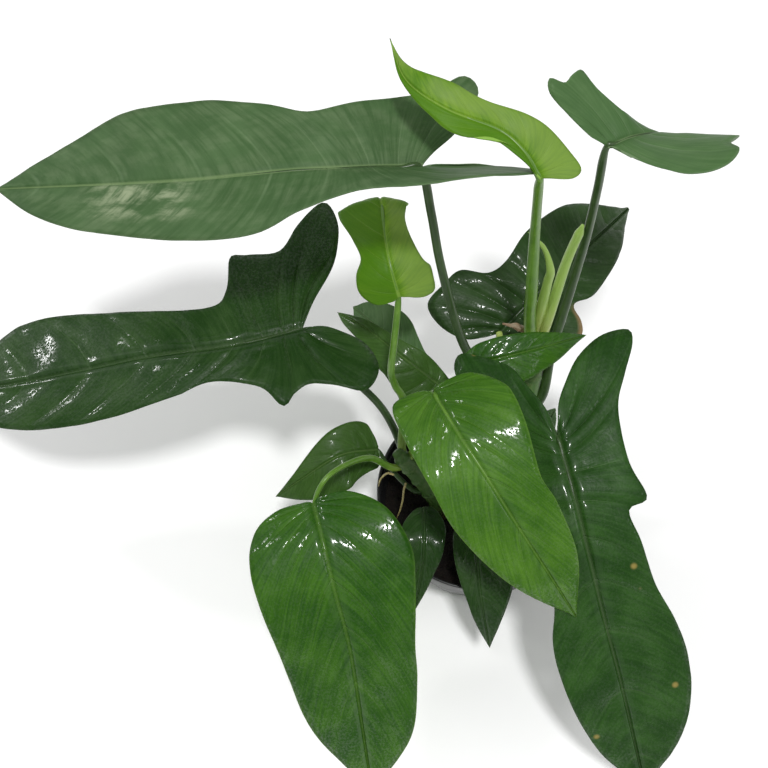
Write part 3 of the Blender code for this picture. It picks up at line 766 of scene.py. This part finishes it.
# Each leaf has its midrib, its left and right halves' outlines, and its stalk: the stalk's finish,
# its foot (a point, or the stem, the share of it and the angle round it in degrees), the points it
# passes, and its radii at the foot and at the blade, in millimetres.
LEAVES = {
    "top_left": Blade(
        [(-50, 95, 297), (-120, 86, 305), (-195, 84, 297), (-311, 105, 262)],
        [(-7, 3), (-20, 5), (-24, 9), (-20, 15), (-8, 19), (6, 18), (18, 13), (27, 13), (36, 15),
         (46, 15), (61, 13), (76, 11), (88, 7)],
        [(-3, 3), (-9, 8), (-14, 16), (-11, 20), (-4, 17), (4, 16), (13, 15), (24, 13), (33, 16),
         (46, 19), (58, 19), (70, 17), (80, 12), (90, 7)],
        ("dark_stalk", ("right", 0.42, 170), [(5, 58, 90), (-14, 70, 124), (-25, 78, 162),
         (-36, 86, 212), (-43, 92, 255)], 3.4, 2.8),
        face=((0, -0.1, 1), (0, -0.1, 1)), lift_left=(50, 45, 0, 0), lift_right=(15, 12, 5, 5),
        veins=9, look="dusty", seed=1),
    "top_young": Blade(
        [(15, 70, 317), (4, 82, 328), (-10, 91, 334), (-38, 98, 342), (-60, 114, 347),
         (-69, 139, 353)],
        [(5, 2), (20, 5), (33, 6), (42, 9), (50, 9), (60, 6), (74, 3), (88, 1)],
        [(-2, 3), (-8, 12), (-7, 18), (2, 18), (17, 15), (34, 10), (56, 12), (75, 8), (90, 2)],
        ("fresh_stalk", (35, 80, 108), [(33, 82, 126), (30, 84, 150), (28, 85, 175), (23, 88, 232),
         (16, 76, 300)], 4.2, 2.9),
        lift_left=(30, 30, 10, 0), curl=0.3, crease=0.15, pillow=0.15, look="young", seed=2),
    "top_right": Blade(
        [(59, 109, 297), (76, 117, 297), (98, 130, 284), (124, 144, 254), (146, 158, 212)],
        [(-6, 7), (-12, 18), (-17, 29), (-15, 35), (-9, 31), (-4, 33), (2, 33), (6, 23), (12, 12),
         (24, 8), (40, 12), (55, 14), (75, 10), (90, 5)],
        [(3, 4), (6, 16), (8, 29), (12, 40), (18, 45), (24, 43), (27, 36), (35, 34), (43, 29),
         (58, 15), (75, 9), (90, 4)],
        ("dark_stalk", ("right", 0.62, 20), [(52, 82, 100), (60, 104, 150), (63, 112, 205),
         (61, 111, 255)], 3.8, 2.8),
        face=((0, -0.3, 1), (0.3, 0.2, 0.6)), lift_left=(25, 15, -60, -70),
        lift_right=(25, 38, 55, 0), veins=9, seed=3),
    "back": Blade(
        [(15, 100, 92), (50, 133, 107), (77, 161, 107), (97, 183, 102), (130, 228, 77)],
        [(-5, 3), (-12, 9), (-15, 20), (-12, 30), (-1, 31), (8, 30), (15, 21), (24, 19), (40, 22),
         (64, 19), (87, 6)],
        [(-2, 4), (0, 12), (8, 21), (17, 25), (24, 25), (28, 21), (31, 14), (42, 17), (60, 14),
         (78, 8)],
        ("dark_stalk", ("right", 0.45, 130), [(23, 66, 62), (18, 88, 76)], 3.0, 2.4),
        seed=4, **{**HORNED, "vein_sweep": 2.0, "look": "burnt"}),
    "back_pale": Blade(
        [(-40, 89, 62), (-60, 101, 72), (-79, 119, 72), (-97, 142, 62)],
        [(-6, 10), (0, 24), (14, 30), (34, 29), (60, 22), (85, 10)],
        [(-6, 6), (8, 10), (22, 17), (36, 24), (50, 26), (68, 23), (90, 13)],
        ("dark_stalk", ("left", 0.6, 60), [(-39, 34, 50), (-36, 62, 48), (-38, 82, 52)], 2.2, 1.8),
        veins=6, seed=5),
    "middle_dark": Blade(
        [(-31, 59, 87), (-60, 76, 102), (-86, 99, 102), (-108, 119, 92)],
        [(-8, 12), (2, 22), (18, 24), (36, 18), (60, 12), (87, 6)],
        [(-8, 4), (-2, 8), (20, 12), (42, 9), (68, 6), (87, 3)],
        ("dark_stalk", ("left", 0.86, 20), [(-41, 28, 70), (-33, 46, 72)], 2.4, 2.0),
        veins=7, look="mid", seed=6),
    "right_small": Blade(
        [(-13, 45, 144), (7, 48, 149), (35, 56, 149), (72, 75, 134)],
        [(-4, 6), (6, 13), (18, 15), (30, 15), (49, 13), (75, 7)],
        [(-4, 8), (6, 17), (20, 21), (38, 20), (50, 17), (64, 13), (80, 7)],
        ("dark_stalk", ("right", 0.5, 210), [(12, 40, 84), (-4, 42, 116)], 2.4, 1.8),
        look="ripe", seed=7),
    "left_horned": Blade(
        [(-127, 65, 162), (-174, 46, 172), (-229, 43, 162), (-279, 40, 147), (-342, 41, 122),
         (-405, 51, 92)],
        [(-4, 1), (-10, 5), (-13, 9), (-13, 15), (-8, 19), (-2, 16), (4, 14), (8, 15), (11, 17),
         (14, 11), (22, 8), (31, 11), (44, 13), (58, 13), (74, 11), (90, 5)],
        [(-5, 6), (-13, 14), (-18, 24), (-17, 31), (-9, 27), (-2, 21), (5, 22), (10, 22), (15, 14),
         (20, 10), (30, 10), (46, 13), (60, 15), (74, 14), (88, 8)],
        ("dark_stalk", ("left", 0.66, 125), [(-65, 33, 68), (-76, 41, 92), (-94, 49, 116),
         (-112, 57, 140)], 3.0, 2.6),
        face=((0, -0.1, 1), (0, -0.1, 1)), seed=8, **HORNED),
    "right_horned": Blade(
        [(42, -11, 152), (52, -53, 142), (62, -86, 122), (74, -118, 92), (87, -151, 62),
         (100, -184, 27), (111, -213, -3)],
        [(-7, 2), (-12, 5), (-18, 10), (-22, 17), (-22, 24), (-18, 24), (-11, 20), (-3, 16),
         (10, 15), (20, 17), (22, 12), (30, 13), (42, 14), (54, 17), (65, 18), (77, 16), (88, 11)],
        [(-7, 1), (-14, 4), (-20, 7), (-25, 14), (-27, 19), (-22, 21), (-10, 17), (2, 15),
         (12, 15), (22, 10), (40, 11), (52, 14), (64, 14), (76, 12), (88, 8)],
        ("dark_stalk", ("right", 0.3, 300), [(44, 14, 74), (46, 4, 118)], 3.2, 2.6),
        lift_right=(-18, -10, 0, 0), seed=9, **{**HORNED, "look": "spotted"}),
    "centre": Blade(
        [(-41, 6, 182), (-25, -27, 187), (-7, -53, 177), (13, -78, 157), (33, -99, 132),
         (55, -118, 97)],
        [(-1, 5), (1, 14), (10, 21), (17, 22), (28, 20), (44, 15), (56, 15), (74, 12), (90, 5)],
        [(-3, 4), (-4, 12), (-1, 15), (8, 16), (27, 17), (45, 18), (66, 14), (85, 7)],
        ("fresh_stalk", ("left", 0.98, 10), [(-48, 14, 110), (-42, 18, 146)], 3.0, 2.4),
        vein_sweep=3.2, veins=9, crease=0.25, pillow=0.4, groove=1.2, look="fresh", seed=10),
    "front_left": Blade(
        [(-120, -43, 112), (-113, -69, 112), (-105, -99, 97), (-95, -132, 67), (-87, -175, 12),
         (-81, -210, -33)],
        [(-1, 2), (0, 11), (8, 20), (19, 24), (29, 23), (46, 19), (60, 18), (78, 15), (92, 7)],
        [(-1, 2), (-1, 11), (4, 19), (16, 22), (33, 21), (54, 19), (73, 15), (90, 7)],
        ("fresh_stalk", ("left", 0.9, 215), [(-82, -4, 97), (-99, -18, 117), (-112, -31, 122)],
         2.5, 1.8),
        vein_sweep=3.4, veins=10, crease=0.3, pillow=0.5, groove=1.4, look="ripe", seed=11),
    "left_small": Blade(
        [(-76, 18, 62), (-104, 9, 72), (-134, -7, 62), (-153, -14, 47)],
        [(1, 13), (8, 17), (30, 26), (50, 27), (66, 22), (85, 11)],
        [(1, 8), (4, 14), (9, 21), (19, 24), (31, 22), (45, 17), (62, 11), (80, 5)],
        ("dark_stalk", ("left", 0.5, 200), [(-66, 6, 50)], 2.0, 1.6),
        veins=7, look="mid", seed=12, back="old_back"),
    "low_left": Blade(
        [(-43, -26, 57), (-43, -51, 57), (-45, -72, 42), (-50, -94, 22)],
        [(0, 8), (8, 15), (20, 19), (33, 18), (46, 16), (62, 11), (80, 6)],
        [(1, 7), (9, 15), (20, 20), (34, 19), (50, 16), (66, 11), (82, 5)],
        ("dark_stalk", (-41, -14, 0.5), [(-42, -16, 25)], 1.6, 1.4),
        veins=6, look="dark", seed=13),
    "low_centre": Blade(
        [(-8, -24, 47), (-6, -57, 52), (-2, -89, 37), (6, -116, 2)],
        [(-2, 6), (8, 15), (24, 22), (42, 23), (58, 20), (70, 15), (84, 8)],
        [(-2, 5), (6, 9), (18, 13), (32, 14), (47, 12), (60, 9), (72, 7), (86, 4)],
        ("dark_stalk", (-12, -14, 0.5), [(-13, -16, 25)], 1.6, 1.3),
        veins=7, look="dark", seed=14),
    "low_right": Blade(
        [(45, 31, 44), (53, 46, 48), (62, 62, 42)],
        [(-2, 8), (14, 18), (36, 22), (60, 18), (84, 9)],
        [(-2, 8), (14, 18), (36, 22), (60, 18), (84, 9)],
        ("dark_stalk", (46, 20, 0.5), [(45, 20, 24)], 1.8, 1.5),
        veins=5, seed=15),
    "left_young": Blade(
        [(-62, 67, 197), (-67, 78, 212), (-71, 98, 218), (-73, 123, 215), (-75, 141, 205),
         (-79, 167, 137)],
        [(-1, 3), (-1, 9), (2, 13), (7, 15), (14, 14), (20, 11), (28, 13), (39, 17), (48, 18),
         (60, 15), (80, 8)],
        [(-1, 3), (-3, 7), (-4, 11), (-3, 15), (2, 16), (8, 16), (16, 13), (28, 10), (38, 9),
         (48, 11), (60, 12), (80, 7)],
        ("fresh_stalk", ("left", 0.99, 75), [(-58, 38, 102), (-64, 41, 122), (-67, 42, 142),
         (-65, 52, 167)], 3.0, 2.4),
        face=(UP, (0, 1, 0.3)), curl=1.5, crease=0.2, pillow=0.3, look="young", seed=16),
}

# The two stems, and where their knuckles are, as shares of their lengths.
STEM_PATHS = {
    "left": grown([(-28, -10, 0.6), (-28, -10, 6), (-29, -10, 14), (-34, -7, 28), (-45, 0, 48),
                   (-57, 6, 68), (-62, 9, 76)]),
    "right": grown([(25, 19, 0.6), (25, 19, 6), (25, 20, 14), (27, 28, 30), (32, 44, 58),
                    (37, 64, 88), (40, 83, 112)]),
}
KNUCKLES = {"left": (0.22, 0.42, 0.62, 0.8, 0.93), "right": (0.2, 0.36, 0.5, 0.64, 0.78, 0.92)}


def settle(piece, node):
    """Hands a finished piece to the frame, in place of the plain solid it stands for."""
    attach(piece, "root")
    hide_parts(node)


def grow_leaves(look):
    for name, blade in LEAVES.items():
        settle(leaf(name, blade, look), "leaf_" + name)
        finish, foot, points, base_radius, tip_radius = blade.stalk
        if isinstance(foot[0], str):
            stem, share, angle = foot
            path = STEM_PATHS[stem]
            feet = [path.at(share - SHEATH_DROP),
                    beside(path, share, STEM_RADII[stem], angle, base_radius * MM)]
        else:
            feet = [planted(foot)]
        made = stalk(name, look[finish], blade, feet, points, base_radius, tip_radius)
        settle(made, "stalk_" + name)


# ---- stems, new growth and roots ----------------------------------------------------------------

def grow_stems(look):
    for side, path in STEM_PATHS.items():

        def radius(share, side=side):
            knuckle = sum(0.11 * hump(share - n, 0.016) - 0.05 * hump(share - n - 0.018, 0.006)
                          for n in KNUCKLES[side])
            taper = eased(share, (0, 0.9, 1), (1.0, 0.98, 0.72))
            return STEM_RADII[side] * (1.0 + knuckle) * taper

        def section(turn, share, side=side):
            place = Vector((math.cos(turn), math.sin(turn), share * 9 + len(side)))
            return 1 + 0.04 * noise.noise(place * 1.3) + 0.02 * noise.noise(place * 4)

        made = tube("cane_" + side, look["bark"], path, radius, 90, 28, section)
        settle(made, "stem_" + side)


def rolled_leaf(look):
    """The next leaf, still rolled into a spear, with the seam of its edge winding up it."""
    path = grown([(42, 83, 112), (44, 84, 140), (51, 101, 184), (58, 110, 217)])

    def radius(share):
        return SPEAR_RADIUS * eased(share, (0, 0.15, 0.5, 0.93, 1), (0.85, 1.0, 1.0, 0.86, 0.34))

    def section(turn, share):
        seam = (turn - 2.2 - 1.5 * share) % (2 * math.pi) / (2 * math.pi)
        return 0.93 + 0.12 * seam - 0.12 * hump(seam, 0.03)

    made = tube("spear_leaf", look["bud"], path, radius, 60, 36, section)
    settle(made, "rolled_leaf")


def sheath_point(look):
    """The pointed sheath that opened to let the spear out: a keeled strip, curved over."""
    path = grown([(38, 85, 112), (38, 87, 145), (39, 91, 178), (39, 92, 192), (33, 98, 208),
                  (21, 101, 222)])

    def radius(share):
        return SHEATH_RADIUS * eased(share, (0, 0.25, 0.6, 0.85, 1), (0.9, 1.0, 0.78, 0.42, 0.06))

    def section(turn, share):
        open_side = hump(math.sin(turn / 2 - 0.3), 0.42)
        return 1 - 0.62 * open_side * min(1.0, share * 3)

    made = tube("sheath_blade", look["bud"], path, radius, 60, 36, section)
    settle(made, "sheath_point")


def old_growth(look):
    """What earlier leaves left behind: the stub of a cut stalk and a dry, papery sheath."""
    stub = grown([(20, 78, 94), (14, 84, 106), (12, 88, 114)])
    made = tube("stub", look["bud"], stub,
                lambda s: STUB_RADIUS * eased(s, (0, 0.8, 1), (0.9, 1.05, 0.9)), 16, 20,
                channelled)
    settle(made, "cut_stalk")
    husk = grown([(38, 86, 110), (30, 88, 117), (24, 89, 121), (14, 91, 122)])

    def torn(turn, share):
        return 1 + 0.5 * noise.noise(Vector((turn * 1.4, share * 8, 3.3)))

    made = tube("husk", look["paper"], husk,
                lambda s: HUSK_RADIUS * eased(s, (0, 0.5, 1), (0.6, 1.0, 0.25)), 40, 24, torn)
    settle(made, "dry_sheath")


def air_roots(look):
    """Two thin roots that grow out of the left stem into the air."""
    routes = {"root_short": [(-65, -4, 66), (-69, -2, 64), (-72, -2, 60), (-75, -4, 55),
                             (-76, -6, 48)],
              "root_long": [(-56, -7, 56), (-57.2, -8.5, 46), (-58, -12, 34), (-60, -16, 22),
                            (-63, -19.5, 11)]}
    for name, points in routes.items():
        made = tube(name, look["root"], grown(points),
                    lambda s: ROOT_RADIUS * eased(s, (0, 0.7, 1), (1.25, 0.95, 0.4)), 40, 10,
                    lambda turn, share: 1 + 0.12 * math.sin(share * 60) * math.cos(turn))
        settle(made, "air_" + name)


# ---- pot and soil -----------------------------------------------------------------------------

def wall_radius(height):
    """The radius of the pot's outer wall at a height, below the rim's band."""
    top = POT_RIM_RADIUS - RIM_BAND_STEP
    return POT_BASE_RADIUS + (top - POT_BASE_RADIUS) * height / (POT_HEIGHT - RIM_BAND_HEIGHT)


def round_points(radius, sides):
    turns = [2 * math.pi * k / sides for k in range(sides)]
    return [(radius * math.cos(t), radius * math.sin(t)) for t in turns]


def turned(bm, profile, sides):
    """A closed solid of revolution about the z axis, from a (radius, height) profile."""
    loops = []
    for radius, height in profile:
        if radius == 0:
            loops.append([bm.verts.new((0, 0, height))] * sides)
            continue
        loops.append([bm.verts.new((x, y, height)) for x, y in round_points(radius, sides)])
    for near, far in zip(loops, loops[1:]):
        for k in range(sides):
            n = (k + 1) % sides
            corners = list(dict.fromkeys((near[k], near[n], far[n], far[k])))
            if len(corners) > 2:
                bm.faces.new(corners)


def rounded(centre, radius, first, last, steps=5):
    """Points of a profile on an arc, between two angles in degrees."""
    angles = [math.radians(first + (last - first) * k / steps) for k in range(steps + 1)]
    return [(centre[0] + radius * math.cos(a), centre[1] + radius * math.sin(a)) for a in angles]


def make_pot(look):
    """The nursery pot: a low foot ring, a thin tapered wall, a plain rim band and drain holes."""
    band = POT_HEIGHT - RIM_BAND_HEIGHT
    lip = LIP_ROUND
    inner_top = POT_RIM_RADIUS - POT_WALL
    inner_band = wall_radius(band) - POT_WALL
    foot = POT_BASE_RADIUS - FOOT_RING
    profile = [(0, FOOT_LIFT), (foot - FOOT_LIFT, FOOT_LIFT), (foot, 0.0)]
    profile += rounded((POT_BASE_RADIUS - FOOT_ROUND, FOOT_ROUND), FOOT_ROUND, -90, 10)
    profile += [(wall_radius(z), z) for z in (0.02, 0.04, 0.06, band - 0.002)]
    profile += [(wall_radius(band), band - 0.0004), (POT_RIM_RADIUS - 0.0005, band + 0.0014)]
    profile += [(POT_RIM_RADIUS, band + POT_WALL), (POT_RIM_RADIUS, POT_HEIGHT - lip - 0.0004)]
    profile += rounded((POT_RIM_RADIUS - lip, POT_HEIGHT - lip), lip, 0, 90)
    profile += rounded((inner_top + lip * 0.6, POT_HEIGHT - lip * 0.6), lip * 0.6, 90, 180)
    profile += [(inner_top, band + POT_WALL), (inner_band, band)]
    profile += [(wall_radius(z) - POT_WALL, z) for z in (0.05, POT_FLOOR)] + [(0, POT_FLOOR)]
    bm = bmesh.new()
    turned(bm, profile, POT_SIDES)
    bmesh.ops.recalc_face_normals(bm, faces=bm.faces)
    made = add_object("nursery_pot", bm, look["plastic"], SHARP_EDGE)
    cutters = bmesh.new()
    for index in range(DRAIN_HOLES):
        turn = 2 * math.pi * (index + 0.4) / DRAIN_HOLES
        ring = bmesh.ops.create_cone(cutters, cap_ends=True, segments=DRAIN_SIDES,
                                     depth=4 * POT_FLOOR, radius1=DRAIN_HOLE_RADIUS,
                                     radius2=DRAIN_HOLE_RADIUS)
        bmesh.ops.translate(cutters, verts=ring["verts"],
                            vec=(DRAIN_HOLE_CIRCLE * math.cos(turn),
                                 DRAIN_HOLE_CIRCLE * math.sin(turn), POT_FLOOR / 2))
    cutter = add_object("drain_cutter", cutters, look["plastic"])
    cut = made.modifiers.new("drain holes", "BOOLEAN")
    cut.operation = "DIFFERENCE"
    cut.object = cutter
    drilled = bpy.data.meshes.new_from_object(
        made.evaluated_get(bpy.context.evaluated_depsgraph_get()))
    made.modifiers.clear()
    made.data = drilled
    bpy.data.objects.remove(cutter)
    drilled.set_sharp_from_angle(angle=SHARP_EDGE)
    settle(made, "pot")


def soil_height(x, y):
    """The lumpy top of the peat, which dips a little at the pot's wall."""
    place = Vector((x, y, 0.0))
    lumps = 1.6 * noise.noise(place * 60) + 0.9 * noise.noise(place * 170 + Vector((3, 5, 1)))
    fine = 0.5 * noise.noise(place * 420)
    edge = (math.hypot(x, y) / SOIL_RADIUS) ** 4
    return SOIL_LEVEL - 0.0014 + (lumps + fine - 1.2 * edge) * MM


def make_soil(look):
    """Peat filling the pot, with loose crumbs and bits of bark lying on it."""
    radius = wall_radius(SOIL_LEVEL) - POT_WALL - SOIL_GAP
    low = POT_FLOOR + SOIL_GAP
    low_radius = wall_radius(low) - POT_WALL - SOIL_GAP
    bm = bmesh.new()
    centre = bm.verts.new((0, 0, soil_height(0, 0)))
    loops = []
    for ring in range(1, SOIL_RINGS + 1):
        around = round_points(radius * ring / SOIL_RINGS, SOIL_SIDES)
        loops.append([bm.verts.new((x, y, soil_height(x, y))) for x, y in around])
    loops.append([bm.verts.new((x, y, low)) for x, y in round_points(low_radius, SOIL_SIDES)])
    for k in range(SOIL_SIDES):
        n = (k + 1) % SOIL_SIDES
        bm.faces.new((centre, loops[0][k], loops[0][n]))
        for near, far in zip(loops, loops[1:]):
            bm.faces.new((near[k], far[k], far[n], near[n]))
    bm.faces.new(list(reversed(loops[-1])))
    shaker = random.Random(CRUMB_SEED)
    for _ in range(SOIL_CRUMBS):
        reach = (radius - 0.003) * math.sqrt(shaker.random())
        turn = shaker.uniform(0, 2 * math.pi)
        add_crumb(bm, shaker, reach * math.cos(turn), reach * math.sin(turn))
    settle(add_object("peat", bm, look["soil"]), "soil")


def add_crumb(bm, shaker, x, y):
    """One lump of peat or chip of bark: an uneven pebble pressed a little into the surface."""
    size = shaker.uniform(0.5, 1.5) ** 2 * 0.9 * MM
    made = bmesh.ops.create_icosphere(bm, subdivisions=1, radius=1.0)
    stretch = Vector((shaker.uniform(0.7, 1.7), shaker.uniform(0.6, 1.1), shaker.uniform(0.4, 0.8)))
    turn = shaker.uniform(0, math.pi)
    lift = soil_height(x, y) + size * 0.2
    for vert in made["verts"]:
        rough = 1 + 0.45 * noise.noise(vert.co * 1.7 + Vector((x, y, 0)) * 900)
        lump = Vector(a * b for a, b in zip(vert.co, stretch)) * size * rough
        vert.co = Vector((x + lump.x * math.cos(turn) - lump.y * math.sin(turn),
                          y + lump.x * math.sin(turn) + lump.y * math.cos(turn), lift + lump.z))


# ---- the studio -------------------------------------------------------------------------------

def soft_light(name, place, size, power):
    """A round lamp that hangs at a place and shines on the plant."""
    lamp = bpy.data.lights.new(name, "AREA")
    lamp.shape = "DISK"
    lamp.size = size
    lamp.energy = power
    made = bpy.data.objects.new(name, lamp)
    made.location = place
    made.rotation_euler = (Vector(LAMP_AIM) - Vector(place)).to_track_quat("-Z", "Y").to_euler()
    bpy.context.scene.collection.objects.link(made)


def studio():
    """A pale floor in a white room, with its lamps."""
    bm = bmesh.new()
    bmesh.ops.create_circle(bm, cap_ends=True, segments=64, radius=FLOOR_RADIUS)
    floor = add_object("floor", bm, floor_finish("pale_floor"))
    world = bpy.data.worlds.new("white_room")
    world.use_nodes = True
    sky = world.node_tree.nodes["Background"]
    sky.inputs["Color"].default_value = (1.0, 1.0, 1.0, 1.0)
    sky.inputs["Strength"].default_value = ROOM_LIGHT
    scene = bpy.context.scene
    scene.world = world
    for name, (place, size, power) in LAMPS.items():
        soft_light(name, place, size, power)
    scene.view_settings.view_transform = "Standard"


def camera():
    lens = bpy.data.cameras.new("camera")
    lens.lens = CAMERA_LENS
    lens.sensor_width = 36
    lens.clip_end = 20
    made = bpy.data.objects.new("camera", lens)
    made.location = CAMERA_PLACE
    made.rotation_euler = (CAMERA_TILT, 0, 0)
    bpy.context.scene.collection.objects.link(made)
    bpy.context.scene.camera = made


def main():
    camera()
    studio()
    look = finishes()
    make_pot(look)
    make_soil(look)
    grow_stems(look)
    grow_leaves(look)
    rolled_leaf(look)
    sheath_point(look)
    old_growth(look)
    air_roots(look)


main()
